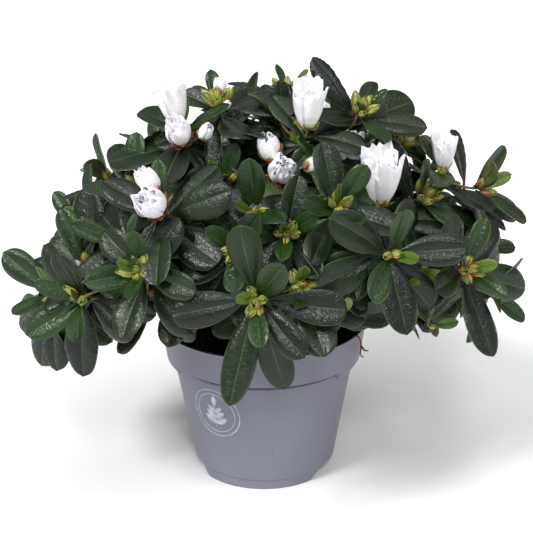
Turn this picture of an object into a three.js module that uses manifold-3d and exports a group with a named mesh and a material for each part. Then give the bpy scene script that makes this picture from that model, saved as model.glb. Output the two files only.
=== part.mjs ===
// A white pot azalea: a low, spreading evergreen shrub in the round plastic pot that it is grown in.
// Millimetres, +Z up. The origin is the middle of the pot's flat underside, and the front is -Y.
import * as THREE from 'three';
import { mergeVertices } from 'three/addons/utils/BufferGeometryUtils.js';
import Module from 'manifold-3d';

const wasm = await Module();
wasm.setup();

// Driving dimensions.
const GAP = 0.35; // between two solids that meet
const WELD = 1e-4; // corners nearer than this are one corner

const RIM_RADIUS = 60;
const POT_HEIGHT = 91.6;
const POT_WALL = 1.6;
const POT_FLOOR = 7.5;
const FOOT_HEIGHT = 5.9;
const FOOT_RADIUS = 40.1; // the feet at the front and the back
const FOOT_CORE = 33; // the flat underside between the feet, at the two sides
const WALL_FOOT_RADIUS = 41.3;
const BAND_LOW = { r: 57.6, z: 72.9 }; // lower edge of the rim's band, front and back
const BAND_ROOT = { r: 53.0, z: 72.5 }; // where the wall meets the band's ledge
const FLARE_LOW = { r: 56.4, z: 70 }; // at the sides the band slants in to the wall
const FLARE_ROOT = { r: 51.4, z: 63 };
const BAND_END = { from: 54, to: 64 }; // degrees to each side of the pot's own front and back
const FOOT_END = { from: 47, to: 60 }; // the feet slant up between these
const POT_TURN = -6.5; // the pot stands turned a little to the left
const POT_STEPS = 54;

const SOIL_LEVEL = 81.5;
const SOIL_MOUND = 1.2;
const SOIL_MOUND_RADIUS = 30;
const SOIL_GAP = 0.8; // between the soil and the pot's facets
const SOIL_STEPS = 24;

const TRUNK_TOP = 106;
const TRUNK_BURIED = 3; // made below the ground and cut off
const TRUNK_LEAN = { x: 3, y: -2 };
const TRUNK_RADIUS = { foot: 9.5, low: 6.4, fork: 4.6 };
const TRUNK_FLARE_SHARE = 0.4; // of the trunk's height
const TRUNK_SIDES = 12;
const TRUNK_STEPS = 8;

const BOUGH_RADIUS = { start: 3.1, tip: 1.9 };
const BOUGH_SIDES = 6;
const BOUGH_STEPS = 5;
const BOUGH_ARCH = 5; // a bough that spreads out bows up by this much
const BOUGH_SAG = 8; // one that climbs starts flatter, and bows down by this much

const MASS_GAP = 1; // between neighbouring masses
const MASS_TOUCH = 1.15; // masses nearer than this share of their sizes are trimmed to each other
const SEAM_TOLERANCE = 0.3; // slivers along a cut are merged within this
const MASS_DETAIL = 3;
const MASS_UNEVEN = 0.16; // share of its size that a mass swells and dips
const BROAD_SWELL = 0.35; // weights of the slow and the quick waves over a mass
const FINE_SWELL = 0.5;
const POT_CLEAR = { round: 4, above: 3, steps: 36 }; // foliage keeps this far from the pot

// The masses of foliage. turn is in degrees from the front towards +X, away is the middle's distance from
// the pot's axis, and droop tips the outer end down.
// out, across and up are the half sizes along the radius, round the crown and in height.
const MASSES = [
  { name: 'foliage_low_front', turn: 1, away: 84, z: 124, out: 37, across: 42, up: 41, droop: 14 },
  { name: 'foliage_low_front_right', turn: 41, away: 101, z: 136, out: 41, across: 38, up: 37, droop: 14 },
  { name: 'foliage_low_right', turn: 80, away: 107, z: 122, out: 43, across: 42, up: 46, droop: 12 },
  { name: 'foliage_low_back_right', turn: 129, away: 102, z: 122, out: 42, across: 45, up: 41, droop: 14 },
  { name: 'foliage_low_back', turn: 179, away: 95, z: 120, out: 42, across: 44, up: 41, droop: 14 },
  { name: 'foliage_low_back_left', turn: -131, away: 102, z: 121, out: 42, across: 45, up: 41, droop: 14 },
  { name: 'foliage_low_left', turn: -81, away: 106, z: 119, out: 43, across: 42, up: 46, droop: 12 },
  { name: 'foliage_low_front_left', turn: -42, away: 101, z: 134, out: 41, across: 38, up: 37, droop: 14 },
  { name: 'foliage_middle_front_right', turn: 29, away: 64, z: 173, out: 40, across: 44, up: 34, droop: 8 },
  { name: 'foliage_middle_right', turn: 96, away: 94, z: 170, out: 44, across: 48, up: 34, droop: 4 },
  { name: 'foliage_middle_back', turn: 180, away: 76, z: 166, out: 44, across: 54, up: 35, droop: 10 },
  { name: 'foliage_middle_left', turn: -98, away: 74, z: 165, out: 44, across: 48, up: 35, droop: 10 },
  { name: 'foliage_middle_front_left', turn: -33, away: 65, z: 172, out: 40, across: 44, up: 35, droop: 8 },
  { name: 'foliage_top_right', turn: 66, away: 45, z: 211, out: 39, across: 40, up: 36, droop: 0 },
  { name: 'foliage_top_left', turn: -72, away: 43, z: 206, out: 39, across: 40, up: 36, droop: 0 },
  { name: 'foliage_top_back', turn: 174, away: 30, z: 203, out: 38, across: 42, up: 34, droop: 0 },
];

// Each bough leaves the trunk at a height and runs into the mass that it carries.
const BOUGHS = [
  { name: 'bough_front', leaves: 95, carries: 'foliage_low_front' },
  { name: 'bough_front_right', leaves: 98, carries: 'foliage_low_front_right' },
  { name: 'bough_right', leaves: 94, carries: 'foliage_low_right' },
  { name: 'bough_back_right', leaves: 99, carries: 'foliage_low_back_right' },
  { name: 'bough_back', leaves: 95, carries: 'foliage_low_back' },
  { name: 'bough_back_left', leaves: 98, carries: 'foliage_low_back_left' },
  { name: 'bough_left', leaves: 94, carries: 'foliage_low_left' },
  { name: 'bough_front_left', leaves: 99, carries: 'foliage_low_front_left' },
  { name: 'bough_upper_right', leaves: 103, carries: 'foliage_top_right' },
  { name: 'bough_upper_left', leaves: 104, carries: 'foliage_top_left' },
];

const plastic = new THREE.MeshStandardMaterial({ color: 0x797a87, roughness: 0.5, metalness: 0 });
const peat = new THREE.MeshStandardMaterial({ color: 0x241a13, roughness: 1, metalness: 0 });
const bark = new THREE.MeshStandardMaterial({ color: 0x5d4636, roughness: 0.9, metalness: 0 });
const foliage = new THREE.MeshStandardMaterial({ color: 0x1f3119, roughness: 0.4, metalness: 0 });

const radians = THREE.MathUtils.degToRad;

// A closed surface through rings of points, which starts and ends in a single point.
function closedRings(first, rings, last) {
  const points = [first, ...rings.flat(), last];
  const steps = rings[0].length;
  const faces = [];
  const at = (ring, step) => 1 + ring * steps + (step % steps);
  for (let step = 0; step < steps; step += 1) {
    faces.push(0, at(0, step + 1), at(0, step));
    for (let ring = 0; ring + 1 < rings.length; ring += 1) {
      faces.push(at(ring, step), at(ring, step + 1), at(ring + 1, step));
      faces.push(at(ring + 1, step), at(ring, step + 1), at(ring + 1, step + 1));
    }
    faces.push(points.length - 1, at(rings.length - 1, step), at(rings.length - 1, step + 1));
  }
  const geometry = new THREE.BufferGeometry().setFromPoints(points);
  geometry.setIndex(faces);
  return geometry;
}

function toSolid(geometry) {
  const bare = geometry.clone();
  bare.deleteAttribute('normal');
  bare.deleteAttribute('uv');
  const merged = mergeVertices(bare, WELD);
  const mesh = new wasm.Mesh({
    numProp: 3,
    vertProperties: new Float32Array(merged.attributes.position.array),
    triVerts: new Uint32Array(merged.index.array),
  });
  return new wasm.Manifold(mesh);
}

function toGeometry(solid) {
  const { vertProperties, triVerts } = solid.getMesh();
  const geometry = new THREE.BufferGeometry();
  geometry.setAttribute('position', new THREE.BufferAttribute(vertProperties, 3));
  geometry.setIndex(new THREE.BufferAttribute(triVerts, 1));
  geometry.computeVertexNormals();
  return geometry;
}

const plant = new THREE.Group();

function addPart(name, geometry, material) {
  const mesh = new THREE.Mesh(geometry, material);
  mesh.name = name;
  plant.add(mesh);
}

// Pot: one shell. Its outline changes round it, between the band at the front and the flare at the sides.
function fromFrontOrBack(angle) {
  const turned = Math.abs(((angle % 180) + 180) % 180);
  return Math.min(turned, 180 - turned);
}

function potOutline(angle) {
  const away = fromFrontOrBack(angle);
  const flare = THREE.MathUtils.smoothstep(away, BAND_END.from, BAND_END.to);
  const notch = THREE.MathUtils.smoothstep(away, FOOT_END.from, FOOT_END.to);
  const low = between(BAND_LOW, FLARE_LOW, flare);
  const root = between(BAND_ROOT, FLARE_ROOT, flare);
  const footLow = notch * (FOOT_HEIGHT - GAP);
  return [
    [FOOT_CORE, 0],
    [FOOT_CORE + GAP, footLow],
    [FOOT_RADIUS, footLow],
    [FOOT_RADIUS, FOOT_HEIGHT],
    [WALL_FOOT_RADIUS, FOOT_HEIGHT],
    [root.r, root.z],
    [low.r, low.z],
    [RIM_RADIUS, POT_HEIGHT],
    [RIM_RADIUS - POT_WALL, POT_HEIGHT],
    [low.r - POT_WALL, low.z + POT_WALL],
    [root.r - POT_WALL, root.z + POT_WALL],
    [WALL_FOOT_RADIUS - POT_WALL, POT_FLOOR],
  ];
}

function between(first, second, share) {
  return {
    r: THREE.MathUtils.lerp(first.r, second.r, share),
    z: THREE.MathUtils.lerp(first.z, second.z, share),
  };
}

function buildPot() {
  const outlines = [];
  for (let step = 0; step < POT_STEPS; step += 1) {
    const angle = (step * 360) / POT_STEPS;
    const sin = Math.sin(radians(angle));
    const cos = Math.cos(radians(angle));
    outlines.push(potOutline(angle - POT_TURN).map(([r, z]) => new THREE.Vector3(r * sin, -r * cos, z)));
  }
  const rings = outlines[0].map((_, ring) => outlines.map((outline) => outline[ring]));
  return closedRings(new THREE.Vector3(0, 0, 0), rings, new THREE.Vector3(0, 0, POT_FLOOR));
}

// Soil: fills the pot to a level below its rim, a little higher in the middle.
function buildSoil() {
  const wallTop = BAND_ROOT.z + POT_WALL + GAP;
  const inset = POT_WALL + SOIL_GAP;
  const outline = [
    [0, POT_FLOOR + GAP],
    [WALL_FOOT_RADIUS - inset, POT_FLOOR + GAP],
    [FLARE_ROOT.r - inset, FLARE_ROOT.z],
    [BAND_ROOT.r - inset, wallTop],
    [FLARE_LOW.r - inset, wallTop + GAP],
    [FLARE_LOW.r - GAP, SOIL_LEVEL],
    [SOIL_MOUND_RADIUS, SOIL_LEVEL + SOIL_MOUND],
    [0, SOIL_LEVEL + SOIL_MOUND],
  ].map(([r, z]) => new THREE.Vector2(r, z));
  const geometry = new THREE.LatheGeometry(outline, SOIL_STEPS);
  geometry.rotateX(Math.PI / 2); // the lathe's axis becomes +Z
  return toGeometry(toSolid(geometry));
}

// Limbs: one tapering round solid along a curve. grow makes it fatter, for cutting clearance.
function buildLimb(curve, radiusAt, sides, steps, grow = 0) {
  const frames = curve.computeFrenetFrames(steps, false);
  const rings = [];
  for (let step = 0; step <= steps; step += 1) {
    const centre = curve.getPointAt(step / steps);
    const radius = radiusAt(step / steps) + grow;
    const ring = [];
    for (let side = 0; side < sides; side += 1) {
      const angle = (side * 2 * Math.PI) / sides;
      const offset = frames.normals[step].clone().multiplyScalar(Math.cos(angle) * radius);
      offset.addScaledVector(frames.binormals[step], Math.sin(angle) * radius);
      ring.push(offset.add(centre));
    }
    rings.push(ring);
  }
  return toSolid(closedRings(curve.getPointAt(0), rings, curve.getPointAt(1)));
}

const TRUNK_FOOT = SOIL_LEVEL + SOIL_MOUND + GAP;
const trunkCurve = new THREE.LineCurve3(
  new THREE.Vector3(0, 0, TRUNK_FOOT - TRUNK_BURIED),
  new THREE.Vector3(TRUNK_LEAN.x, TRUNK_LEAN.y, TRUNK_TOP),
);

function trunkRadius(share) {
  const stem = THREE.MathUtils.lerp(TRUNK_RADIUS.low, TRUNK_RADIUS.fork, share);
  const flare = (TRUNK_RADIUS.foot - TRUNK_RADIUS.low) * Math.max(0, 1 - share / TRUNK_FLARE_SHARE) ** 2;
  return stem + flare;
}

// The lean tilts the lowest ring, so the trunk starts below the ground and is cut flat there.
function buildTrunk(grow) {
  const stem = buildLimb(trunkCurve, trunkRadius, TRUNK_SIDES, TRUNK_STEPS, grow);
  return stem.trimByPlane([0, 0, 1], TRUNK_FOOT);
}

// Masses of foliage: an uneven ball, drawn out along the radius of the crown.
function buildMass(mass, index, grow) {
  const geometry = new THREE.IcosahedronGeometry(1, MASS_DETAIL);
  geometry.deleteAttribute('normal');
  geometry.deleteAttribute('uv');
  const ball = mergeVertices(geometry, WELD);
  const place = new THREE.Matrix4().makeRotationZ(radians(mass.turn - 90));
  place.multiply(new THREE.Matrix4().makeRotationY(radians(mass.droop)));
  const centre = massCentre(mass);
  const point = new THREE.Vector3();
  const { position } = ball.attributes;
  for (let i = 0; i < position.count; i += 1) {
    point.fromBufferAttribute(position, i);
    const swell = 1 + MASS_UNEVEN * unevenness(point, index);
    point.set(
      point.x * (mass.out * swell + grow),
      point.y * (mass.across * swell + grow),
      point.z * (mass.up * swell + grow),
    );
    point.applyMatrix4(place).add(centre);
    position.setXYZ(i, point.x, point.y, point.z);
  }
  return toSolid(ball);
}

// Waves over a ball, slow ones round it and quicker ones up it. Each mass has its own.
function unevenness(direction, index) {
  const { x, y, z } = direction;
  const broad = Math.sin(2.6 * x + 1.7 * index) + Math.sin(2.9 * y + 2.3 * index);
  const fine = Math.sin(5.2 * z + 3.1 * index + 2 * x) * Math.cos(4.6 * y + index);
  return BROAD_SWELL * broad + FINE_SWELL * fine;
}

function massCentre(mass) {
  const sin = Math.sin(radians(mass.turn));
  const cos = Math.cos(radians(mass.turn));
  return new THREE.Vector3(mass.away * sin, -mass.away * cos, mass.z);
}

// The space that the pot takes: foliage hangs round it and lies on nothing.
function potClearance() {
  const height = POT_HEIGHT + POT_CLEAR.above;
  const radius = RIM_RADIUS + POT_CLEAR.round;
  const geometry = new THREE.CylinderGeometry(radius, radius, height, POT_CLEAR.steps);
  geometry.rotateX(Math.PI / 2);
  geometry.translate(0, 0, height / 2);
  return toSolid(geometry);
}

// Two neighbouring masses meet at a plane between their centres, so that none overlap.
function trimToNeighbours(solid, mass) {
  const centre = massCentre(mass);
  const size = meanSize(mass);
  let trimmed = solid;
  MASSES.filter((other) => other !== mass).forEach((other) => {
    const towards = massCentre(other).sub(centre);
    const distance = towards.length();
    const reach = size + meanSize(other);
    if (distance > reach * MASS_TOUCH) return;
    towards.normalize();
    const plane = towards.dot(centre) + (distance * size) / reach - MASS_GAP / 2;
    trimmed = trimmed.trimByPlane(towards.negate().toArray(), -plane);
  });
  return trimmed;
}

function meanSize(mass) {
  return (mass.out + mass.across + mass.up) / 3;
}

const clearOfPot = potClearance();
const massSolids = MASSES.map((mass, index) => {
  const ball = buildMass(mass, index, 0).subtract(clearOfPot);
  return trimToNeighbours(ball, mass).simplify(SEAM_TOLERANCE);
});

function boughCurve(bough) {
  const target = MASSES.find((mass) => mass.name === bough.carries);
  const share = (bough.leaves - TRUNK_FOOT) / (TRUNK_TOP - TRUNK_FOOT);
  const start = trunkCurve.getPointAt(share);
  const end = massCentre(target);
  const rising = end.z > start.z + end.distanceTo(start) / 2;
  const knee = start.clone().lerp(end, 0.5);
  knee.z += rising ? -BOUGH_SAG : BOUGH_ARCH;
  return new THREE.QuadraticBezierCurve3(start, knee, end);
}

function buildBough(bough, grow) {
  const radiusAt = (share) => THREE.MathUtils.lerp(BOUGH_RADIUS.start, BOUGH_RADIUS.tip, share);
  return buildLimb(boughCurve(bough), radiusAt, BOUGH_SIDES, BOUGH_STEPS, grow);
}

// A bough starts at the trunk's skin, clears the boughs before it and ends where it enters a mass.
const trunkClearance = buildTrunk(GAP);
const boughSolids = BOUGHS.map((bough, index) => {
  let solid = buildBough(bough, 0).subtract(trunkClearance);
  for (let earlier = 0; earlier < index; earlier += 1) {
    solid = solid.subtract(buildBough(BOUGHS[earlier], GAP));
  }
  MASSES.forEach((mass, massIndex) => {
    solid = solid.subtract(buildMass(mass, massIndex, GAP));
  });
  return solid;
});

addPart('pot', buildPot(), plastic);
addPart('soil', buildSoil(), peat);
addPart('trunk', toGeometry(buildTrunk(0)), bark);
BOUGHS.forEach((bough, index) => addPart(bough.name, toGeometry(boughSolids[index]), bark));
MASSES.forEach((mass, index) => addPart(mass.name, toGeometry(massSolids[index]), foliage));

export default plant;
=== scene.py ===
"""A white azalea in its grower's pot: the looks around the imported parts.

Lengths are in millimetres until a mesh is made; MM turns them into metres.
Turn is in degrees from the front (-Y) towards +X, and lift is in degrees above the level.
"""
import math

import bpy
import numpy as np
from mathutils import Matrix, Vector
from mathutils.bvhtree import BVHTree


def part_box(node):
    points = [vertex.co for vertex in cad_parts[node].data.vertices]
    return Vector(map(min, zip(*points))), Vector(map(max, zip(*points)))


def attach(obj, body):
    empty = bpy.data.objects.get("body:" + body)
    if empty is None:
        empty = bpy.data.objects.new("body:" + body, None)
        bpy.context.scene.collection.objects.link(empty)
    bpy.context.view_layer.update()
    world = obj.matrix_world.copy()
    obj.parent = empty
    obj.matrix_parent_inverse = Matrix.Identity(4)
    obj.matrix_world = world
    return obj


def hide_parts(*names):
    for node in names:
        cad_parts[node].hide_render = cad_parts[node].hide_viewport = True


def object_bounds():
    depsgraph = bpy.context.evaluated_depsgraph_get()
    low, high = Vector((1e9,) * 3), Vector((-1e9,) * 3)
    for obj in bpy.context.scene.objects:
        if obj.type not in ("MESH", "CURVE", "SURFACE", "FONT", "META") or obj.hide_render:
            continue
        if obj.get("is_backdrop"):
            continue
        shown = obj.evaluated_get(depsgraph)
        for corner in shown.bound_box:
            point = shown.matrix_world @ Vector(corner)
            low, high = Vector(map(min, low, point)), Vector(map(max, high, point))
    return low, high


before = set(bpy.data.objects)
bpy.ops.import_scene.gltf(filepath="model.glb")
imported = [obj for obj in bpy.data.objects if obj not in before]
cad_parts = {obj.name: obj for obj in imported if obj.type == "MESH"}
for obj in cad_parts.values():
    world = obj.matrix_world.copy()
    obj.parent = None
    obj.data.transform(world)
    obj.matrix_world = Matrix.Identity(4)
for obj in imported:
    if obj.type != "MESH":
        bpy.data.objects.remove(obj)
cad_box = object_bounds()

MM = 0.001
SEED = 20
rng = np.random.default_rng(SEED)
UP = np.array([0.0, 0.0, 1.0])
GOLDEN_TURN = math.radians(137.5)

MASSES = [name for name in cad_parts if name.startswith("foliage_")]
BOUGHS = [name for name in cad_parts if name.startswith("bough_")]


# ---- vectors


def unit(vectors):
    """Vectors scaled to length one, along the last axis."""
    length = np.linalg.norm(vectors, axis=-1, keepdims=True)
    return vectors / np.maximum(length, 1e-9)


def direction(turn, lift):
    """The unit vector at a turn and a lift, in degrees."""
    turn, lift = math.radians(turn), math.radians(lift)
    return np.array([math.sin(turn) * math.cos(lift), -math.cos(turn) * math.cos(lift), math.sin(lift)])


def across(axis):
    """Two unit vectors that make a right-handed set with the axis."""
    helper = UP if abs(axis[2]) < 0.9 else np.array([1.0, 0.0, 0.0])
    first = unit(np.cross(helper, axis))
    return first, np.cross(axis, first)


def around(radius, angle, height):
    """Points at a radius and a height, at an angle in radians from the front."""
    parts = np.broadcast_arrays(radius * np.sin(angle), -radius * np.cos(angle), height)
    return np.stack(parts, -1)


def full_turn(count):
    """Angles spread evenly over one turn."""
    return np.linspace(0, 2 * math.pi, count, endpoint=False)


def distances(line):
    """How far each point of a line lies along it."""
    return np.concatenate([[0], np.cumsum(np.linalg.norm(np.diff(line, axis=0), axis=1))])


def smooth(value, low, high):
    """0 below low, 1 above high, and an S curve between."""
    share = np.clip((value - low) / (high - low), 0, 1)
    return share * share * (3 - 2 * share)


# ---- mesh pieces


class Template:
    """The faces of one closed shape, each with a role that a material is dealt to."""

    def __init__(self, faces, roles=None):
        self.loops = np.array([point for face in faces for point in face])
        self.totals = np.array([len(face) for face in faces])
        self.roles = np.zeros(len(faces), int) if roles is None else np.array(roles)


class Soup:
    """Points and faces of one piece, gathered shape by shape."""

    def __init__(self):
        self.points, self.loops, self.totals, self.slots = [], [], [], []
        self.count = 0

    def add(self, points, template, slots=(0,)):
        """points is (copies, points, 3). slots gives the material of each role, for all or by copy."""
        copies, size = points.shape[:2]
        starts = self.count + size * np.arange(copies)
        slots = np.atleast_2d(slots)
        slots = np.broadcast_to(slots, (copies, slots.shape[1]))
        self.points.append(points.reshape(-1, 3))
        self.loops.append((template.loops[None, :] + starts[:, None]).ravel())
        self.totals.append(np.tile(template.totals, copies))
        self.slots.append(slots[:, template.roles].ravel())
        self.count += copies * size

    def make(self, name, materials, slot, replaces=(), crumpled=False):
        """One object in metres, riding on the plant's body. A crumpled one isn't shaded smooth."""
        points = np.concatenate(self.points) * MM
        loops = np.concatenate(self.loops)
        totals = np.concatenate(self.totals)
        mesh = bpy.data.meshes.new(name)
        mesh.vertices.add(len(points))
        mesh.vertices.foreach_set("co", points.astype(np.float32).ravel())
        mesh.loops.add(len(loops))
        mesh.loops.foreach_set("vertex_index", loops.astype(np.int32))
        mesh.polygons.add(len(totals))
        mesh.polygons.foreach_set("loop_start", (np.cumsum(totals) - totals).astype(np.int32))
        mesh.polygons.foreach_set("material_index", np.concatenate(self.slots).astype(np.int32))
        mesh.polygons.foreach_set("use_smooth", np.full(len(totals), not crumpled))
        mesh.update(calc_edges=True)
        mesh.validate()
        for material in materials:
            mesh.materials.append(material)
        piece = bpy.data.objects.new(name, mesh)
        bpy.context.scene.collection.objects.link(piece)
        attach(piece, "root")
        if replaces:
            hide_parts(*replaces)


def tube_template(rings, sides):
    """A closed tube: rings of points, then one point at each end."""
    faces = []
    start, end = rings * sides, rings * sides + 1
    for side in range(sides):
        after = (side + 1) % sides
        faces.append((start, after, side))
        for ring in range(rings - 1):
            low, high = ring * sides, (ring + 1) * sides
            faces.append((low + side, low + after, high + after, high + side))
        last = (rings - 1) * sides
        faces.append((end, last + side, last + after))
    return Template(faces)


def tube(path, radii, sides, relief=0.0, turn=0.0):
    """A round limb along a path, as (points, template). relief roughens it like bark."""
    path = np.asarray(path, float)
    radii = np.asarray(radii, float)
    tangents = unit(np.gradient(path, axis=0))
    first, _ = across(tangents[0])
    normals = [first]
    for tangent in tangents[1:]:
        normals.append(unit(normals[-1] - tangent * np.dot(normals[-1], tangent)))
    normals = np.array(normals)
    others = np.cross(tangents, normals)
    angles = full_turn(sides) + turn
    reach = np.repeat(radii[:, None], sides, 1)
    if relief:
        along = distances(path)[:, None]
        ridges = np.sin(3 * angles + 0.35 * along + turn)
        knots = np.sin(0.9 * along + 2 * angles) * np.sin(0.37 * along + 1.3)
        flakes = rng.normal(0, 0.45, reach.shape)
        reach = reach * (1 + relief * (0.5 * ridges + 0.6 * knots + flakes))
    cosine, sine = np.cos(angles)[:, None], np.sin(angles)[:, None]
    rings = path[:, None] + reach[..., None] * (cosine * normals[:, None] + sine * others[:, None])
    points = np.concatenate([rings.reshape(-1, 3), path[:1], path[-1:]])
    return points, tube_template(len(path), sides)


def bezier(start, knee, end, count):
    """Points along a quadratic curve."""
    share = np.linspace(0, 1, count)[:, None]
    return (1 - share) ** 2 * start + 2 * share * (1 - share) * knee + share**2 * end


def sheet_template(rows, columns, foot_rows=0):
    """A thin closed sheet: a front grid, and a back grid that shares its edge. The foot has role 1."""
    front = np.arange(rows * columns).reshape(rows, columns)
    back = front.copy()
    inner = (rows - 2) * (columns - 2)
    back[1:-1, 1:-1] = rows * columns + np.arange(inner).reshape(rows - 2, columns - 2)
    faces, roles = [], []
    for row in range(rows - 1):
        for column in range(columns - 1):
            for grid, order in ((front, 1), (back, -1)):
                here, above = grid[row], grid[row + 1]
                face = (here[column], above[column], above[column + 1], here[column + 1])
                faces.append(face[::order])
                roles.append(int(row < foot_rows))
    return Template(faces, roles)


def sheet_points(grid, thickness):
    """Front points (copies, rows, columns, 3), and the back ones inside the edge."""
    along = np.gradient(grid, axis=1)
    side = np.gradient(grid, axis=2)
    normal = unit(np.cross(along, side))
    back = grid[:, 1:-1, 1:-1] - normal[:, 1:-1, 1:-1] * thickness
    copies = len(grid)
    return np.concatenate([grid.reshape(copies, -1, 3), back.reshape(copies, -1, 3)], axis=1)


# ---- materials


def linear(red, green, blue):
    """A colour given in the 0 to 255 screen scale, as the linear colour a shader takes."""
    values = [v / 255 for v in (red, green, blue)]
    return tuple(v / 12.92 if v <= 0.04045 else ((v + 0.055) / 1.055) ** 2.4 for v in values) + (1.0,)


class Shader:
    """A procedural material, node by node."""

    def __init__(self, name, roughness, specular=0.5):
        self.material = bpy.data.materials.new(name)
        self.material.use_nodes = True
        self.nodes = self.material.node_tree.nodes
        self.links = self.material.node_tree.links
        self.surface = self.nodes["Principled BSDF"]
        self.surface.inputs["Roughness"].default_value = roughness
        self.surface.inputs["Specular IOR Level"].default_value = specular
        self.place = self.nodes.new("ShaderNodeTexCoord").outputs["Object"]

    def noise(self, scale, detail):
        """Soft cloudy noise."""
        node = self.nodes.new("ShaderNodeTexNoise")
        node.inputs["Scale"].default_value = scale
        node.inputs["Detail"].default_value = detail
        self.links.new(self.place, node.inputs["Vector"])
        return node.outputs["Fac"]

    def cells(self, scale):
        """How far a place is from the edge of its cell."""
        node = self.nodes.new("ShaderNodeTexVoronoi")
        node.feature = "DISTANCE_TO_EDGE"
        node.inputs["Scale"].default_value = scale
        self.links.new(self.place, node.inputs["Vector"])
        return node.outputs["Distance"]

    def spread(self, value, low, high, out_low=0.0, out_high=1.0):
        """A value stretched from one range to another."""
        node = self.nodes.new("ShaderNodeMapRange")
        limits = {"From Min": low, "From Max": high, "To Min": out_low, "To Max": out_high}
        for name, number in limits.items():
            node.inputs[name].default_value = number
        self.links.new(value, node.inputs["Value"])
        return node.outputs["Result"]

    def blend(self, value, dark, light, low=0.35, high=0.65):
        """A colour that runs from dark to light as a value goes from low to high."""
        node = self.nodes.new("ShaderNodeMix")
        node.data_type = "RGBA"
        self.links.new(self.spread(value, low, high), node.inputs["Factor"])
        for socket, tone in ((node.inputs[6], dark), (node.inputs[7], light)):
            if isinstance(tone, tuple):
                socket.default_value = linear(*tone)
            else:
                self.links.new(tone, socket)
        return node.outputs[2]

    def colour(self, *blend):
        """The surface's colour, as a blend."""
        self.links.new(self.blend(*blend), self.surface.inputs["Base Color"])

    def rough(self, value, low, high):
        """Roughness runs from low to high with a noise."""
        self.links.new(self.spread(value, 0.3, 0.7, low, high), self.surface.inputs["Roughness"])

    def bump(self, *layers):
        """Each layer is (height, depth in millimetres, strength)."""
        normal = None
        for height, depth, strength in layers:
            node = self.nodes.new("ShaderNodeBump")
            node.inputs["Strength"].default_value = strength
            node.inputs["Distance"].default_value = depth * MM
            self.links.new(height, node.inputs["Height"])
            if normal is not None:
                self.links.new(normal, node.inputs["Normal"])
            normal = node.outputs["Normal"]
        self.links.new(normal, self.surface.inputs["Normal"])


def leaf_material(name, dark, light, rough_low, rough_high):
    """A leathery blade: mottled green, with a net of small veins and a broken gloss."""
    shader = Shader(name, 0.4, 0.42)
    shader.colour(shader.noise(55, 4), dark, light, 0.35, 0.68)
    shader.rough(shader.noise(160, 3), rough_low, rough_high)
    net = shader.spread(shader.cells(320), 0.0, 0.16)
    shader.bump((net, 0.2, 0.42), (shader.noise(110, 2), 1.6, 0.16), (shader.noise(1500, 2), 0.08, 0.3))
    return shader.material


def plain_plant_material(name, dark, light, roughness, scale=120):
    """Rib, margin or bud scale: two close tones and a fine grain."""
    shader = Shader(name, roughness)
    shader.colour(shader.noise(scale, 3), dark, light)
    shader.bump((shader.noise(scale * 9, 2), 0.15, 0.3))
    return shader.material


def petal_material(name, dark, light):
    """Thin matt tissue, finely wrinkled."""
    shader = Shader(name, 0.8, 0.2)
    shader.colour(shader.noise(150, 3), dark, light)
    shader.bump((shader.noise(650, 3), 0.75, 0.5))
    return shader.material


def bark_material(name, dark, light, roughness):
    """Streaked bark with fine cracks."""
    shader = Shader(name, roughness, 0.3)
    streaks = shader.noise(260, 5)
    shader.colour(streaks, dark, light)
    shader.bump((streaks, 0.5, 0.6), (shader.cells(420), 0.3, 0.4))
    return shader.material


def pot_material():
    """Satin grey polypropylene with faint mould flow, small specks and rubbed places."""
    shader = Shader("pot_plastic", 0.42, 0.45)
    body = shader.blend(shader.noise(14, 3), (112, 113, 127), (118, 119, 133))
    shader.colour(shader.noise(300, 1), body, (92, 93, 104), 0.77, 0.82)
    shader.rough(shader.noise(38, 5), 0.36, 0.5)
    shader.bump((shader.noise(24, 3), 0.25, 0.18), (shader.noise(1400, 2), 0.03, 0.25))
    return shader.material


def print_material():
    """Pale ink, worn in places."""
    shader = Shader("pot_print", 0.5, 0.4)
    shader.colour(shader.noise(260, 4), (186, 189, 206), (160, 163, 180), 0.42, 0.62)
    shader.bump((shader.noise(900, 2), 0.02, 0.3))
    return shader.material


def soil_material():
    """Dark clumpy peat."""
    shader = Shader("soil_peat", 0.95, 0.2)
    clumps = shader.noise(420, 6)
    shader.colour(clumps, (30, 19, 15), (84, 60, 47), 0.35, 0.7)
    shader.bump((clumps, 1.2, 0.9), (shader.noise(1500, 3), 0.4, 0.7))
    return shader.material


def floor_material():
    """The white sheet that the pot stands on."""
    shader = Shader("floor_pale", 0.9, 0.1)
    shader.colour(shader.noise(6, 2), (246, 246, 247), (250, 250, 250), 0.3, 0.7)
    return shader.material


# ---- pot

POT_LOW, POT_HIGH = (np.array(corner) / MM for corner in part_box("pot"))
RIM_RADIUS = (POT_HIGH[0] - POT_LOW[0]) / 2
POT_HEIGHT = POT_HIGH[2]
POT_WALL = 1.5
POT_FLOOR = 7.5
FOOT_HEIGHT = 5.9
FOOT_RADIUS = 40.1
FOOT_CORE = 33.0
FOOT_LIFT = 0.35
WALL_FOOT_RADIUS = 41.3
WALL_FOOT_HEIGHT = FOOT_HEIGHT + 0.5

# The rim's band, as radius and height: its lower edge, and where it meets the wall. At the two sides it
# flares lower, and the groove runs under it elsewhere.
BAND_LOW = np.array([57.6, 72.9])
BAND_ROOT = np.array([53.0, 72.5])
FLARE_LOW = np.array([56.4, 70.0])
FLARE_ROOT = np.array([51.4, 63.0])
GROOVE = np.array([1.2, 3.0])

# Where the band and the foot end, in degrees from the front or the back.
BAND_END = (54, 64)
FOOT_END = (47, 60)
POT_TURN = -6.5
POT_STEPS = 240

# Points round each corner, and how far beyond its curve the two points that keep the shading flat lie.
CORNER_STEPS = 4
GUARD = 1.08


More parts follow.
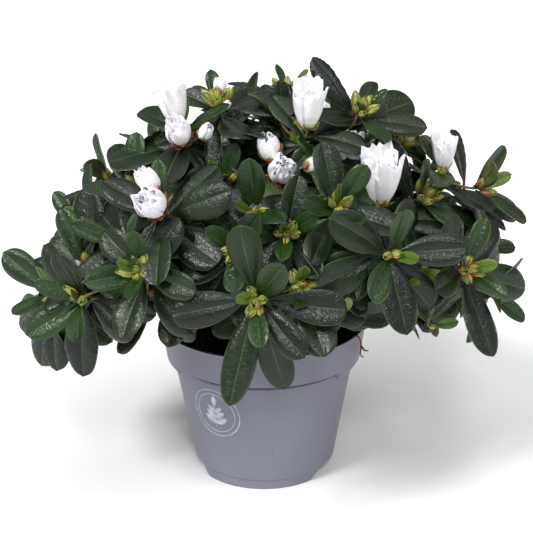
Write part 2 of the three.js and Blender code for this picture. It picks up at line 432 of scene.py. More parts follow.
def pot_outline(turns):
    """The pot's section (turns, corners, radius and height), and the rounding of each corner."""
    turns = (turns - POT_TURN) % 180
    away = np.minimum(turns, 180 - turns)
    flare = smooth(away, *BAND_END)[:, None]
    foot_low = smooth(away, *FOOT_END) * (FOOT_HEIGHT - FOOT_LIFT)
    low = BAND_LOW + (FLARE_LOW - BAND_LOW) * flare
    root = BAND_ROOT + (FLARE_ROOT - BAND_ROOT) * flare
    groove = GROOVE * (1 - flare)
    inwards = np.array([-POT_WALL, POT_WALL])

    def ring(radius, height):
        """One corner at every turn."""
        return np.stack([radius + 0 * away, height + 0 * away], 1)

    corners = [
        (ring(FOOT_CORE, 0), 0.3),
        (ring(FOOT_CORE + FOOT_LIFT, foot_low), 0.1),
        (ring(FOOT_RADIUS, foot_low), 0.7),
        (ring(FOOT_RADIUS + 0.3, FOOT_HEIGHT), 0.15),
        (ring(WALL_FOOT_RADIUS, WALL_FOOT_HEIGHT), 0.5),
        (root - groove * np.array([0, 1]), 0.4),
        (root + groove * np.array([-1, -0.6]), 0.3),
        (root + groove * np.array([-1, 0.1]), 0.3),
        (low, 0.4),
        (ring(RIM_RADIUS - 0.35, POT_HEIGHT - 1.2), 0.4),
        (ring(RIM_RADIUS, POT_HEIGHT - 0.6), 0.3),
        (ring(RIM_RADIUS, POT_HEIGHT), 0.5),
        (ring(RIM_RADIUS - POT_WALL, POT_HEIGHT), 0.5),
        (low + inwards, 0.8),
        (root + inwards, 0.8),
        (ring(WALL_FOOT_RADIUS - POT_WALL, POT_FLOOR), 1.5),
    ]
    return np.stack([points for points, _ in corners], 1), [radius for _, radius in corners]


def round_corners(outline, radii):
    """Each corner between two others becomes a short curve."""
    rounded = []
    count = outline.shape[1]
    for corner in range(count):
        here = outline[:, corner]
        on_axis = here * (0, 1)
        before = outline[:, corner - 1] if corner else on_axis
        after = outline[:, corner + 1] if corner + 1 < count else on_axis
        ends = []
        for other in (before, after):
            gap = other - here
            length = np.linalg.norm(gap, axis=1, keepdims=True)
            ends.append(here + gap * np.minimum(radii[corner] / length, 0.45))
        guards = [here + (end - here) * GUARD for end in ends]
        rounded.append(guards[0])
        for share in np.linspace(0, 1, CORNER_STEPS):
            rounded.append((1 - share) ** 2 * ends[0] + 2 * share * (1 - share) * here + share**2 * ends[1])
        rounded.append(guards[1])
    return np.stack(rounded, 1)


def build_pot():
    """The whole moulding, as one section carried round the axis."""
    turns = np.arange(POT_STEPS) * 360 / POT_STEPS
    section = round_corners(*pot_outline(turns))
    rings = around(section[..., 0], np.radians(turns)[:, None], section[..., 1]).transpose(1, 0, 2)
    points = np.concatenate([rings.reshape(-1, 3), [[0, 0, 0], [0, 0, POT_FLOOR]]])
    soup = Soup()
    soup.add(points[None], tube_template(len(rings), POT_STEPS))
    soup.make("pot_shell", [pot_material()], "pot", ["pot"])


# A plain leaf sprig printed on the pot, in place of the real pot's mark.
MARK_TURN = -34
MARK_HEIGHT = 50
MARK_PROUD = 0.12
MARK_SUNK = -0.2
RING_RADII = ((15.6, 15.0), (12.7, 12.2))
RING_STEPS = 96
SPRIG_LENGTH = 20
SPRIG_PAIRS = 3
SPRIG_LEAF = np.array([8.6, 2.6])
PRINT_ROWS, PRINT_COLUMNS = 15, 5
PRINT_THICKNESS = 0.3


def on_wall(side, up, proud):
    """Points at a distance round and up from the mark's middle, on the pot's wall."""
    height = MARK_HEIGHT + up
    slope = (BAND_ROOT[0] - WALL_FOOT_RADIUS) / (BAND_ROOT[1] - GROOVE[1] - WALL_FOOT_HEIGHT)
    radius = WALL_FOOT_RADIUS + (height - WALL_FOOT_HEIGHT) * slope
    angle = math.radians(MARK_TURN) + side / radius
    return around(radius + proud, angle, height)


def print_ring(soup, outer, inner):
    """A thin flat ring that lies on the wall, sunk in a little behind."""
    angle = full_turn(RING_STEPS)
    section = ((outer, MARK_SUNK), (outer, MARK_PROUD), (inner, MARK_PROUD), (inner, MARK_SUNK))
    rings = [on_wall(radius * np.cos(angle), radius * np.sin(angle), proud) for radius, proud in section]
    faces = []
    for part in range(len(section)):
        here, there = part * RING_STEPS, (part + 1) % len(section) * RING_STEPS
        for step in range(RING_STEPS):
            after = (step + 1) % RING_STEPS
            faces.append((here + step, here + after, there + after, there + step))
    soup.add(np.concatenate(rings)[None], Template(faces))


def build_mark():
    """Two rings round a stem with its pairs of leaves and one at the tip."""
    soup = Soup()
    share = np.linspace(0, 1, PRINT_ROWS)[:, None]
    width = np.linspace(-1, 1, PRINT_COLUMNS)[None, :]
    template = sheet_template(PRINT_ROWS, PRINT_COLUMNS)

    def print_leaf(rise, lean, length, half_width):
        """A pointed oval that starts at a height on the stem and leans by an angle."""
        lean = math.radians(lean)
        profile = half_width * np.sin(math.pi * share**0.85) ** 0.8 + 0.05
        forward, sideways = share * length, width * profile
        side = forward * math.sin(lean) + sideways * math.cos(lean)
        up = rise + forward * math.cos(lean) - sideways * math.sin(lean)
        proud = MARK_PROUD * (1 - 0.9 * np.abs(width)) * np.ones_like(share)
        grid = on_wall(side, up, proud)[None]
        soup.add(sheet_points(grid, PRINT_THICKNESS), template)

    for outer, inner in RING_RADII:
        print_ring(soup, outer, inner)
    print_leaf(-SPRIG_LENGTH / 2, 0, SPRIG_LENGTH * 0.8, 0.4)
    for pair in range(SPRIG_PAIRS):
        rise = SPRIG_LENGTH * (-0.34 + 0.18 * pair)
        size = 1 - 0.13 * pair
        for side in (-1, 1):
            print_leaf(rise, side * (58 - 5 * pair), *(SPRIG_LEAF * size))
    print_leaf(SPRIG_LENGTH * 0.24, 0, *(SPRIG_LEAF * 0.8))
    soup.make("pot_print", [print_material()], "pot")


# ---- soil

SOIL_LOW, SOIL_HIGH = (np.array(corner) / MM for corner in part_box("soil"))
SOIL_RADIUS = (SOIL_HIGH[0] - SOIL_LOW[0]) / 2
SOIL_LEVEL = SOIL_HIGH[2] - 1.2
SOIL_FOOT = POT_FLOOR + 0.4
SOIL_RINGS = 36
SOIL_STEPS = 120

# The soil's side, as radius and height, inside the pot's wall.
SOIL_SIDE = ((39.0, SOIL_FOOT), (49.0, FLARE_ROOT[1]), (51.0, BAND_ROOT[1] + 2))

# Grains on the soil: how many there are, and their least and largest half width.
CRUMBS = (320, 0.5, 1.5)
PERLITE = (9, 0.5, 0.9)
GRAIN_RINGS, GRAIN_SIDES = 4, 7


def build_soil():
    """A lumpy disc of peat down to the pot's floor, with loose crumbs and a few white grains."""
    soup = Soup()
    share = np.linspace(1, 0.02, SOIL_RINGS)[:, None]
    angle = full_turn(SOIL_STEPS)[None, :]
    x, y = share * SOIL_RADIUS * np.sin(angle), -share * SOIL_RADIUS * np.cos(angle)
    lumps = np.sin(0.31 * x + 1.0) * np.sin(0.27 * y + 2.0) + 0.6 * np.sin(0.83 * x + 0.5 * y)
    lumps += 0.5 * np.sin(1.7 * y - 0.9 * x + 3) + rng.normal(0, 0.22, x.shape)
    z = SOIL_LEVEL + 0.45 * lumps - 0.5 * smooth(share, 0.9, 1)
    side = [around(radius, angle, height) for radius, height in SOIL_SIDE]
    rings = np.concatenate([*side, np.stack([x, y, z], 2)])
    points = np.concatenate([rings.reshape(-1, 3), [[0, 0, SOIL_FOOT], [0, 0, SOIL_LEVEL]]])
    soup.add(points[None], tube_template(len(rings), SOIL_STEPS))
    add_grains(soup, *CRUMBS, 0)
    add_grains(soup, *PERLITE, 1)
    grit = plain_plant_material("soil_perlite", (214, 210, 200), (238, 236, 230), 0.9)
    soup.make("soil_bed", [soil_material(), grit], "soil", ["soil"])


def add_grains(soup, count, least, largest, slot):
    """Small rough lumps strewn over the soil, half sunk in it."""
    rise = np.linspace(-0.8, 0.8, GRAIN_RINGS)[:, None]
    angle = full_turn(GRAIN_SIDES)[None, :]
    template = tube_template(GRAIN_RINGS, GRAIN_SIDES)
    for _ in range(count):
        size = rng.uniform(least, largest)
        where = SOIL_RADIUS * 0.96 * math.sqrt(rng.uniform(0.02, 1))
        turn = rng.uniform(0, 2 * math.pi)
        width = np.sqrt(1 - rise**2) * size * rng.uniform(0.75, 1.25, (GRAIN_RINGS, GRAIN_SIDES))
        shape = np.stack([width * np.cos(angle), width * np.sin(angle), rise * size * 0.8 + 0 * angle], 2)
        ends = UP * size * np.array([[-0.9], [0.9]])
        centre = np.array([where * math.cos(turn), where * math.sin(turn), SOIL_LEVEL + 0.4 * size])
        points = np.concatenate([shape.reshape(-1, 3), ends]) + centre
        soup.add(points[None], template, (slot,))


# ---- shape of the crown


def node_points(name):
    """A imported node's corners in millimetres."""
    mesh = bpy.data.objects[name].data
    flat = np.empty(len(mesh.vertices) * 3)
    mesh.vertices.foreach_get("co", flat)
    return flat.reshape(-1, 3) / MM


def crown_tree():
    """All the masses of foliage, for finding the crown's surface along a line."""
    points, faces = [], []
    for name in MASSES:
        start = len(points)
        mesh = bpy.data.objects[name].data
        points.extend(tuple(point) for point in node_points(name))
        faces.extend(tuple(start + corner for corner in face.vertices) for face in mesh.polygons)
    return BVHTree.FromPolygons(points, faces)


CROWN_MIDDLE = np.array([0.0, 0.0, 118.0])

# A point beyond the whole crown lies this far from its middle.
OUTSIDE = 400

# Where the crown reaches less far than this, it has no shoot.
LEAST_REACH = 70

# Shoots on the front half lean towards the light, which comes from the front: how far, and how far the
# flowers' faces turn to it.
LIGHT_SIDE = np.array([0.0, -1.0, 0.0])
LIGHT_PULL = 0.35
FACE_PULL = 0.8
CROWN_TREE = crown_tree()
MASS_CENTRES = {name: sum(np.array(corner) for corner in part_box(name)) / 2 / MM for name in MASSES}


def crown_reach(way):
    """How far the crown reaches from its middle along a unit vector."""
    far = CROWN_MIDDLE + way * OUTSIDE
    place, _, _, distance = CROWN_TREE.ray_cast(Vector(far), Vector(-way))
    return 0.0 if place is None else OUTSIDE - distance


# ---- shoots

# The shoots that carry flowers and the buds that show best, by turn and lift on the crown.
# inset is how far the tip lies inside the crown's surface. spread is how far the shoot leans out
# from upright: 0 is straight up and 1 straight out. size is the length of its largest flower.
FEATURED = [
    # name, turn, lift, inset, spread, what it carries, size
    ("top_left_flower", -61, 63, 31, 0.0, "funnel_pair", 24),
    ("left_flower", -38, 36, 15, 0.3, "rose_pair", 20),
    ("middle_flower", 15, 61, 13, 0.25, "rose_cluster", 18),
    ("top_flower", 37, 67, 27, 0.0, "funnel", 26),
    ("right_flower", 58, 36, 20, -0.1, "funnel", 32),
    ("far_right_flower", 86, 32, 23, 0.1, "funnel", 20),
    ("hidden_flower", 66, 57, 48, 0.3, "rose", 20),
    ("left_white_bud", -67, 12, 16, 0.6, "white_bud", 11),
    ("right_end", 92, 22, 15, 0.6, "buds_brown", 0),
    ("front_low", -2, 14, 12, 0.85, "buds", 0),
    ("front_middle", -10, 30, 16, 0.8, "buds", 0),
    ("right_low", 62, 11, -4, 0.85, "buds_red", 0),
    ("front_right", 38, 22, 18, 0.85, "buds_small", 0),
    ("right_upper", 72, 31, 16, 0.7, "buds", 0),
    ("top_right", 74, 61, 20, 0.35, "buds", 0),
    ("top", 50, 82, 18, 0.1, "leaves", 0),
    ("top_left", -62, 76, 18, 0.3, "buds_white", 10),
    ("left_upper", -80, 22, 14, 0.65, "buds_small", 0),
    ("left_shoulder", -74, 40, 16, 0.5, "buds_small", 0),
    ("left_low", -70, 3, 14, 0.7, "buds_small", 0),
    ("left_front_low", -54, 7, 18, 0.75, "buds_small", 0),
    ("right_front_low", 54, 13, 26, 0.7, "buds_small", 0),
    ("right_brown_bud", 74, 0, 14, 0.8, "bud_single", 0),
    ("back_flower", 150, 40, 16, 0.5, "rose_pair", 21),
    ("back_left_flower", -140, 50, 30, 0.2, "funnel", 29),
    ("back_bud", 170, 20, 16, 0.7, "buds_white", 14),
    ("back_left_rose", -165, 30, 16, 0.5, "rose", 20),
    ("back_right_flower", 120, 56, 34, 0.1, "funnel_pair", 27),
    ("left_back_rose", -128, 26, 14, 0.5, "rose", 19),
]

# Single leaves that stand out on some of those shoots: turn, lift, length and share of it in width.
SINGLE_LEAVES = {
    "front_low": ((-40, -68, 56, 0.31), (40, -66, 53, 0.33), (-76, -8, 42, 0.45), (70, -2, 44, 0.42)),
    "top": ((20, 82, 26, 0.5), (-120, 74, 22, 0.5), (84, 20, 46, 0.4), (-80, 12, 46, 0.46)),
    "top_left": ((96, 14, 40, 0.5), (0, -30, 38, 0.52)),
    "top_right": ((-96, 66, 40, 0.36),),
    "middle_flower": ((-4, -48, 46, 0.5), (48, -40, 54, 0.44)),
    "left_flower": ((-50, -44, 48, 0.48), (60, 30, 40, 0.5)),
    "right_low": ((40, -60, 48, 0.46), (100, -20, 44, 0.46)),
    "left_low": ((-60, -62, 44, 0.52), (-20, -58, 42, 0.52)),
    "left_front_low": ((-20, -66, 42, 0.5), (76, -14, 36, 0.4)),
    "right_front_low": ((96, -52, 38, 0.5),),
}

# The other leaves of the shoot point further away from a single one than this cosine says.
SINGLE_ROOM = 0.85

# Shoots tried over the crown: how many, their lowest lift, the least angle between two, and how deep
# their tips lie.
SHELL_SHOOTS = 150
SHELL_LOWEST = -10
SHELL_SPACING = 13.0
SHELL_INSET = (14, 28)

# The front is open below a lift, up to a turn on either side.
OPEN_FRONT = 54
OPEN_FRONT_LOWEST = 15

# Shoots inside the crown: how many, and how deep their tips lie, give or take.
INNER_SHOOTS = 64
INNER_INSET = 48
INNER_DEPTH = 10

# What the shoots whose flowers are in full view carry. No leaf lies before the face of one of these, which
# is clear for a share of the flower's size and some room more.
SHOWN = ("rose_cluster", "rose_pair", "funnel", "funnel_pair")
FLOWER_HALF = 0.4
FLOWER_ROOM = 9

# Leaves over the front of the pot's mouth stay above this height, which leaves the soil in view.
MOUTH_CLEAR = 108

# Elsewhere leaves end above this height, and higher still towards the front.
LEAF_FLOOR = 74
LEAF_FLOOR_RISE = 0.38

# A leaf that would end above this height, or that points back into the crown by this cosine, keeps only a
# share of its length.
LEAF_CEILING = 234
CEILING_SHARE = 0.72
INWARD = -0.45
INWARD_SHARE = 0.8

# How many leaves a whorl has, from the first number up to below the second, in the outer and the inner
# shoots, and how long its largest ones are.
OUTER_LEAVES = (9, 13)
INNER_LEAVES = (6, 9)
LEAF_LENGTH = (40, 49)


class Shoot:
    """A leafy shoot's tip: where it is, which way it points and what it carries."""

    def __init__(self, name, tip, axis, facing, carries, size):
        self.name, self.tip, self.axis, self.facing = name, tip, axis, facing
        self.carries, self.size = carries, size
        self.mass = min(MASSES, key=lambda mass: np.linalg.norm(MASS_CENTRES[mass] - tip))


def shoot_at(name, turn, lift, inset, spread, carries, size=0):
    """The shoot for one row of the table, or None where the crown is too shallow for it."""
    way = direction(turn, lift)
    reach = crown_reach(way)
    if reach < LEAST_REACH:
        return None
    tip = CROWN_MIDDLE + way * (reach - inset)
    outward = unit(way * np.array([1, 1, 0.6]))
    to_light = LIGHT_SIDE * smooth(-tip[1], -30, 30)
    axis = unit(outward * spread + UP * (1 - spread) + LIGHT_PULL * to_light + rng.normal(0, 0.06, 3))
    return Shoot(name, tip, axis, unit(outward + FACE_PULL * to_light), carries, size)


def even_directions(count, lowest):
    """Turns and lifts spread evenly over the crown above the lowest lift."""
    low = math.sin(math.radians(lowest))
    for index in range(count):
        rise = low + (1 - low) * (index + 0.5) / count
        turn = math.degrees(index * GOLDEN_TURN) % 360 - 180
        yield turn + rng.normal(0, 3), math.degrees(math.asin(min(rise, 0.999))) + rng.normal(0, 2)


def apart(way, others, least):
    """Whether a direction is more than the least angle away from all the others."""
    return all(math.degrees(math.acos(np.clip(way @ other, -1, 1))) > least for other in others)


def place_shoots():
    """The featured shoots, then even ones over the crown where there is room, then the inner ones."""
    shoots, taken = [], []
    for row in FEATURED:
        shoots.append(shoot_at(*row))
        taken.append(direction(*row[1:3]))
    for turn, lift in even_directions(SHELL_SHOOTS, SHELL_LOWEST):
        bare = abs(turn) < OPEN_FRONT and lift < OPEN_FRONT_LOWEST
        if not bare and apart(direction(turn, lift), taken, SHELL_SPACING):
            carries = rng.choice(["leaves", "buds", "buds_small"], p=[0.5, 0.25, 0.25])
            spread = 0.72 - 0.35 * max(lift, 0) / 90 + rng.normal(0, 0.07)
            inset = rng.uniform(*SHELL_INSET)
            shoots.append(shoot_at("shell", turn, lift, inset, spread, carries))
            taken.append(direction(turn, lift))
    for turn, lift in even_directions(INNER_SHOOTS, 0):
        inset = INNER_INSET + rng.uniform(-INNER_DEPTH, INNER_DEPTH)
        shoots.append(shoot_at("inner", turn + 20, lift, inset, 0.75 + rng.normal(0, 0.1), "nothing"))
    return [shoot for shoot in shoots if shoot is not None]


# ---- limbs by the branching rule

TRUNK_LOW, TRUNK_HIGH = (np.array(corner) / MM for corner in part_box("trunk"))
TRUNK_RADIUS = (6.4, 4.6)
TRUNK_RINGS, TRUNK_SIDES = 26, 30
TRUNK_TOP = (0.93, 0.8, 0.55)
ROOT_FLARE = 3.1
FORK_DEPTH = 6
BOUGH_RADIUS = 3.3
BOUGH_END_RADIUS = (1.9, 2.6)
BOUGH_RINGS, BOUGH_SIDES = 22, 16
TIP_RADIUS = 0.85
BARK_RELIEF = 0.06

# A twig thinner than the first radius is cut coarser, and one thicker than the second has old bark.
FINE_TWIG = 1.6
OLD_TWIG = 1.9
TWIG_SIDES, FINE_TWIG_SIDES = 10, 7

# How fast a limb gets thicker with the number of shoots that it feeds.
PIPE_POWER = 0.42

# A fork lies this share of the way from the last one to the middle of the shoots beyond it.
FORK_SHARE = 0.55

# The kinds of bark: dark and light colour, and roughness.
BARKS = (
    ("bark_old", (66, 48, 38), (112, 86, 66), 0.8),
    ("bark_twig", (96, 58, 34), (148, 96, 56), 0.65),
    ("bark_shoot", (106, 98, 44), (140, 112, 60), 0.55),
    ("bark_root", (84, 44, 30), (124, 70, 46), 0.7),
)
OLD_BARK, TWIG_BARK, SHOOT_BARK, ROOT_BARK = range(len(BARKS))


def limb_line(name):
    """The middle line of a packed bough, from the trunk outwards."""
    points = node_points(name)
    fork = np.array([(TRUNK_LOW[0] + TRUNK_HIGH[0]) / 2, 0, TRUNK_HIGH[2] - FORK_DEPTH])
    points = points[np.argsort(np.linalg.norm(points - fork, axis=1))]
    line = [band.mean(0) for band in np.array_split(points, 4)]
    # The first and last of these means lie inside the ends, so the line is drawn out to the ends.
    start = line[0] + (line[0] - line[1]) * 0.45
    end = line[-1] + (line[-1] - line[-2]) * 0.6
    return np.array([start, *line[1:-1], end])


def resample(line, count):
    """Points evenly along a line, with its corners softened."""
    for _ in range(2):
        middle = (line[:-1] + line[1:]) / 2
        cut = np.empty((2 * len(middle), 3))
        cut[0::2] = 0.75 * line[:-1] + 0.25 * line[1:]
        cut[1::2] = 0.25 * line[:-1] + 0.75 * line[1:]
        line = np.concatenate([line[:1], cut, line[-1:]])
    along = distances(line)
    wanted = np.linspace(0, along[-1], count)
    return np.stack([np.interp(wanted, along, line[:, axis]) for axis in range(3)], 1)


def pipe_radius(shoots):
    """A limb is as thick as the shoots that it feeds need."""
    return TIP_RADIUS * shoots**PIPE_POWER


def branch(soup, start, heading, shoots, old_radius):
    """Grow from a point towards shoots: the limb forks in two until each shoot has its own twig."""
    radius = min(old_radius, pipe_radius(len(shoots)))
    if len(shoots) == 1:
        end_twig(soup, start, heading, shoots[0], radius)
        return
    tips = np.array([shoot.tip for shoot in shoots])
    middle = tips.mean(0)
    fork = start + (middle - start) * FORK_SHARE + rng.normal(0, 2.0, 3)
    gap = np.linalg.norm(fork - start)
    knee = start + heading * gap * 0.5
    line = bezier(start, knee, fork, max(4, int(gap / 4)))
    add_twig(soup, line, radius * 1.12, radius * 0.95)
    spread = tips - middle
    widest = np.linalg.svd(spread, full_matrices=False)[2][0]
    order = np.argsort(spread @ widest)
    half = len(order) // 2
    for part in (order[:half], order[half:]):
        branch(soup, fork, unit(fork - knee), [shoots[i] for i in part], radius)


def end_twig(soup, start, heading, shoot, radius):
    """The last twig, which runs into the shoot along the shoot's axis and turns that a little."""
    gap = np.linalg.norm(shoot.tip - start)
    knee = shoot.tip - shoot.axis * gap * 0.45
    knee = knee * 0.75 + (start + heading * gap * 0.4) * 0.25
    line = bezier(start, knee, shoot.tip, max(5, int(gap / 4)))
    add_twig(soup, line, max(radius, TIP_RADIUS * 1.1), TIP_RADIUS * 0.85)
    shoot.axis = unit(shoot.axis + 0.3 * unit(shoot.tip - knee))


def add_twig(soup, line, thick, thin):
    """A tapering twig, whose bark is older where it is thick."""
    radii = np.linspace(thick, thin, len(line))
    sides = FINE_TWIG_SIDES if thick < FINE_TWIG else TWIG_SIDES
    points, template = tube(line, radii, sides, BARK_RELIEF, rng.uniform(0, 6))
    young = TWIG_BARK if thin > TIP_RADIUS * 0.9 else SHOOT_BARK
    soup.add(points[None], template, (OLD_BARK if thick > OLD_TWIG else young,))


# A thin root that has found its way over the pot's rim, and its fork, as turn, radius and height.
STRAY_ROOT = (
    (52, 46, 81),
    (57, 54, 84),
    (60, 58.3, 92.2),
    (62, 61.3, 91),
    (64, 61.8, 84),
    (63, 61.2, 79),
    (67, 61.8, 76),
)
STRAY_FORK = ((64, 61.8, 84), (67, 62.6, 80), (71, 63.2, 78.5))
STRAY_ROOT_RADIUS = (0.75, 0.35)
STRAY_ROOT_RINGS = 26


def build_stray_root(soup):
    """The root over the rim, joined to the twigs' piece."""
    radii = np.linspace(*STRAY_ROOT_RADIUS, STRAY_ROOT_RINGS)
    for stations in (STRAY_ROOT, STRAY_FORK):
        corners = [direction(turn, 0) * radius + UP * height for turn, radius, height in stations]
        points, template = tube(resample(np.array(corners), STRAY_ROOT_RINGS), radii, 6, 0.08)
        soup.add(points[None], template, (ROOT_BARK,))


def build_trunk(soup):
    """The trunk from its root flare to the fork, closed by a low dome."""
    foot = np.array([0, 0, TRUNK_LOW[2] - 0.8])
    top = np.append((TRUNK_LOW[:2] + TRUNK_HIGH[:2]) / 2, TRUNK_HIGH[2])
    share = np.linspace(0, 1, TRUNK_RINGS)
    radii = TRUNK_RADIUS[0] + (TRUNK_RADIUS[1] - TRUNK_RADIUS[0]) * share
    radii = radii + ROOT_FLARE * np.maximum(0, 1 - share / 0.4) ** 2
    radii[-3:] *= TRUNK_TOP
    points, template = tube(foot + (top - foot) * share[:, None], radii, TRUNK_SIDES, 0.05)
    soup.add(points[None], template)


def feed_boughs(lines, shoots):
    """For each bough, the groups of shoots that it feeds: those of the masses that it ends nearest to."""
    fed = {name: [] for name in BOUGHS}
    for mass in MASSES:
        carried = [shoot for shoot in shoots if shoot.mass == mass]
        if carried:
            # Where a limb comes to the mass from inside.
            inner = MASS_CENTRES[mass] * np.array([0.6, 0.6, 1]) - UP * 14
            nearest = min(BOUGHS, key=lambda name: np.linalg.norm(lines[name][-1] - inner))
            fed[nearest].append(carried)
    return fed


def build_limbs(shoots):
    """Trunk and boughs with bark relief, and the twigs that grow on from them to each shoot."""
    limbs, twigs = Soup(), Soup()
    build_trunk(limbs)
    lines = {name: limb_line(name) for name in BOUGHS}
    fed = feed_boughs(lines, shoots)
    for name, corners in lines.items():
        count = sum(len(carried) for carried in fed[name])
        end = np.clip(pipe_radius(max(count, 1)), *BOUGH_END_RADIUS)
        line = resample(corners, BOUGH_RINGS)
        radii = np.linspace(BOUGH_RADIUS, end, BOUGH_RINGS)
        points, template = tube(line, radii, BOUGH_SIDES, BARK_RELIEF, rng.uniform(0, 6))
        limbs.add(points[None], template)
        for carried in fed[name]:
            branch(twigs, line[-1], unit(line[-1] - line[-4]), carried, end)
    barks = [bark_material(*bark) for bark in BARKS]
    limbs.make("trunk_and_boughs", barks[:1], "bark", ["trunk", *BOUGHS])
    build_stray_root(twigs)
    twigs.make("twigs", barks, "bark")


# ---- leaves

# Places across a leaf, from edge to edge, where 1 is half its width.
FINE_ACROSS = np.array([-1, -0.965, -0.74, -0.44, -0.15, -0.032, 0.032, 0.15, 0.44, 0.74, 0.965, 1])
FINE_UNDER = np.array([-0.55, -0.06, 0.06, 0.55])
COARSE_ACROSS = np.array([-1, -0.95, -0.5, -0.04, 0.04, 0.5, 0.95, 1])
COARSE_UNDER = np.array([-0.06, 0.06])

# The two grids that a leaf is cut to: rows, and the places across its two faces.
FINE = (19, FINE_ACROSS, FINE_UNDER)
COARSE = (10, COARSE_ACROSS, COARSE_UNDER)
PETIOLE_ROWS = 2
PETIOLE_SHARE = 0.09
PETIOLE_HALF_WIDTH = 0.85
VEIN_SLANT = 0.8

# The parts of a leaf that take a material each. The blade's differs from leaf to leaf.
BLADE, UNDER, RIB, EDGE = range(4)


def leaf_template(rows, columns, under_count):
    """The faces of one leaf: blade above, rib along the middle, pale edge, and the underside."""
    top = np.arange(rows * columns).reshape(rows, columns)
    inner = rows * columns + np.arange(rows * under_count).reshape(rows, -1)
    under = np.concatenate([top[:, :1], inner, top[:, -1:]], axis=1)
    tip = rows * columns + rows * under_count
    faces, roles = [], []

    def add(face, role):
        faces.append(face)
        roles.append(role)

    for grid, plain, order in ((top, BLADE, 1), (under, UNDER, -1)):
        last = grid.shape[1] - 2
        for column in range(last + 1):
            role = RIB if column == last // 2 else EDGE if plain == BLADE and column in (0, last) else plain
            here, beside = grid[:, column], grid[:, column + 1]
            for row in range(rows - 1):
                square = (here[row], here[row + 1], beside[row + 1], beside[row])
                add(square[::order], RIB if row < PETIOLE_ROWS else role)
            add((here[-1], tip, beside[-1])[::order], role if plain == BLADE else UNDER)
    add((*top[0], *under[0, -2:0:-1]), RIB)
    return Template(faces, roles)


def leaf_points(leaf, rows, across_places, under_places):
    """leaf is a table with one row per leaf. Gives (leaves, points, 3)."""
    step = np.linspace(0, 1, rows + 1 - PETIOLE_ROWS)
    blade = np.concatenate([np.zeros(PETIOLE_ROWS), 1 - (1 - step) ** 1.3])
    stalk = np.concatenate([np.linspace(0, 1, PETIOLE_ROWS + 1)[:-1], np.ones(rows + 1 - PETIOLE_ROWS)])
    valley = np.arange(rows + 1) % 2
    wide = {name: values[:, None, None] for name, values in leaf.items() if values.ndim == 1}

    def surface(places, under):
        """Points of the upper or the lower face at the given places across. Rows follow the side veins."""
        u = places[None, None, :]
        s = blade[None, :, None]
        s = s + VEIN_SLANT * np.abs(u) * s * (1 - s)
        along = PETIOLE_SHARE * stalk[None, :, None] + (1 - PETIOLE_SHARE) * s
        broadest = wide["taper"] / (wide["taper"] + wide["blunt"])
        outline = (s / broadest) ** wide["taper"] * (np.maximum(1 - s, 0) / (1 - broadest)) ** wide["blunt"]
        half = wide["width"] / 2 * outline
        narrowing = 0.3 * along / PETIOLE_SHARE * (along < PETIOLE_SHARE)
        half = np.maximum(half, PETIOLE_HALF_WIDTH * (1 - narrowing))
        height = wide["cup"] * half * np.abs(u) ** 1.6
        height = height - wide["edge"] * half * np.maximum(0, np.abs(u) - 0.6) ** 2 * 3
        pillow = (valley[None, :, None] - 0.5) * np.sin(math.pi * np.abs(u) ** 0.8)
        height = height + wide["quilt"] * pillow * outline
        ripple = np.sin(2 * math.pi * (1.6 * s + wide["phase"]) + 2.0 * np.sign(u))
        height = height + wide["wave"] * ripple * np.abs(u) ** 2 * outline
        if under:
            rib = np.exp(-((u / 0.12) ** 2)) * (1 - 0.6 * s)
            height = height - 0.38 - 0.75 * rib - 0.6 * (1 - smooth(along, 0, 2 * PETIOLE_SHARE))
        else:
            height = height - wide["groove"] * np.exp(-((u / 0.1) ** 2)) * (1 - 0.5 * s)
        cosine, sine = np.cos(wide["twist"] * along), np.sin(wide["twist"] * along)
        side, height = u * half * cosine - height * sine, u * half * sine + height * cosine
        angle = wide["bend"] * along
        forward = wide["length"] * np.sin(angle) / wide["bend"] - height * np.sin(angle)
        rise = wide["length"] * (1 - np.cos(angle)) / wide["bend"] + height * np.cos(angle)
        return np.stack(np.broadcast_arrays(forward, side, rise), -1)

    top = surface(across_places, False)[:, :-1]
    low = surface(under_places, True)[:, :-1]
    bend = leaf["bend"]
    reach = leaf["length"] + 0.5
    tip = np.stack([reach * np.sin(bend) / bend, 0 * bend, reach * (1 - np.cos(bend)) / bend - 0.2], 1)
    count = len(bend)
    local = np.concatenate([top.reshape(count, -1, 3), low.reshape(count, -1, 3), tip[:, None]], 1)
    basis = np.stack([leaf["along"], np.cross(leaf["normal"], leaf["along"]), leaf["normal"]], 1)
    return leaf["base"][:, None] + local @ basis


LEAST_BEND = 0.02

# The blades' shades: dark and light colour, and least and most roughness. There are two darks, a fresh
# green, an olive and the yellow-green of the youngest.
SHADES = (
    ("leaf_dark", (9, 22, 7), (21, 40, 13), 0.28, 0.46),
    ("leaf_deep", (7, 17, 8), (15, 30, 14), 0.26, 0.42),
    ("leaf_fresh", (19, 42, 12), (34, 62, 19), 0.24, 0.42),
    ("leaf_olive", (38, 54, 18), (60, 76, 26), 0.32, 0.5),
    ("leaf_young", (62, 90, 22), (100, 122, 38), 0.35, 0.5),
)
DARK, DEEP, FRESH, OLIVE, YOUNG = range(len(SHADES))
GROWN_SHADES, GROWN_SHARES = [DARK, DEEP, FRESH, OLIVE], [0.5, 0.42, 0.05, 0.03]

# The other parts, in the order of their roles.
LEAF_PARTS = (
    ("leaf_under", (66, 80, 38), (92, 102, 54), 0.6),
    ("leaf_rib", (30, 52, 22), (58, 80, 34), 0.45),
    ("leaf_edge", (46, 66, 30), (76, 92, 48), 0.45),
)


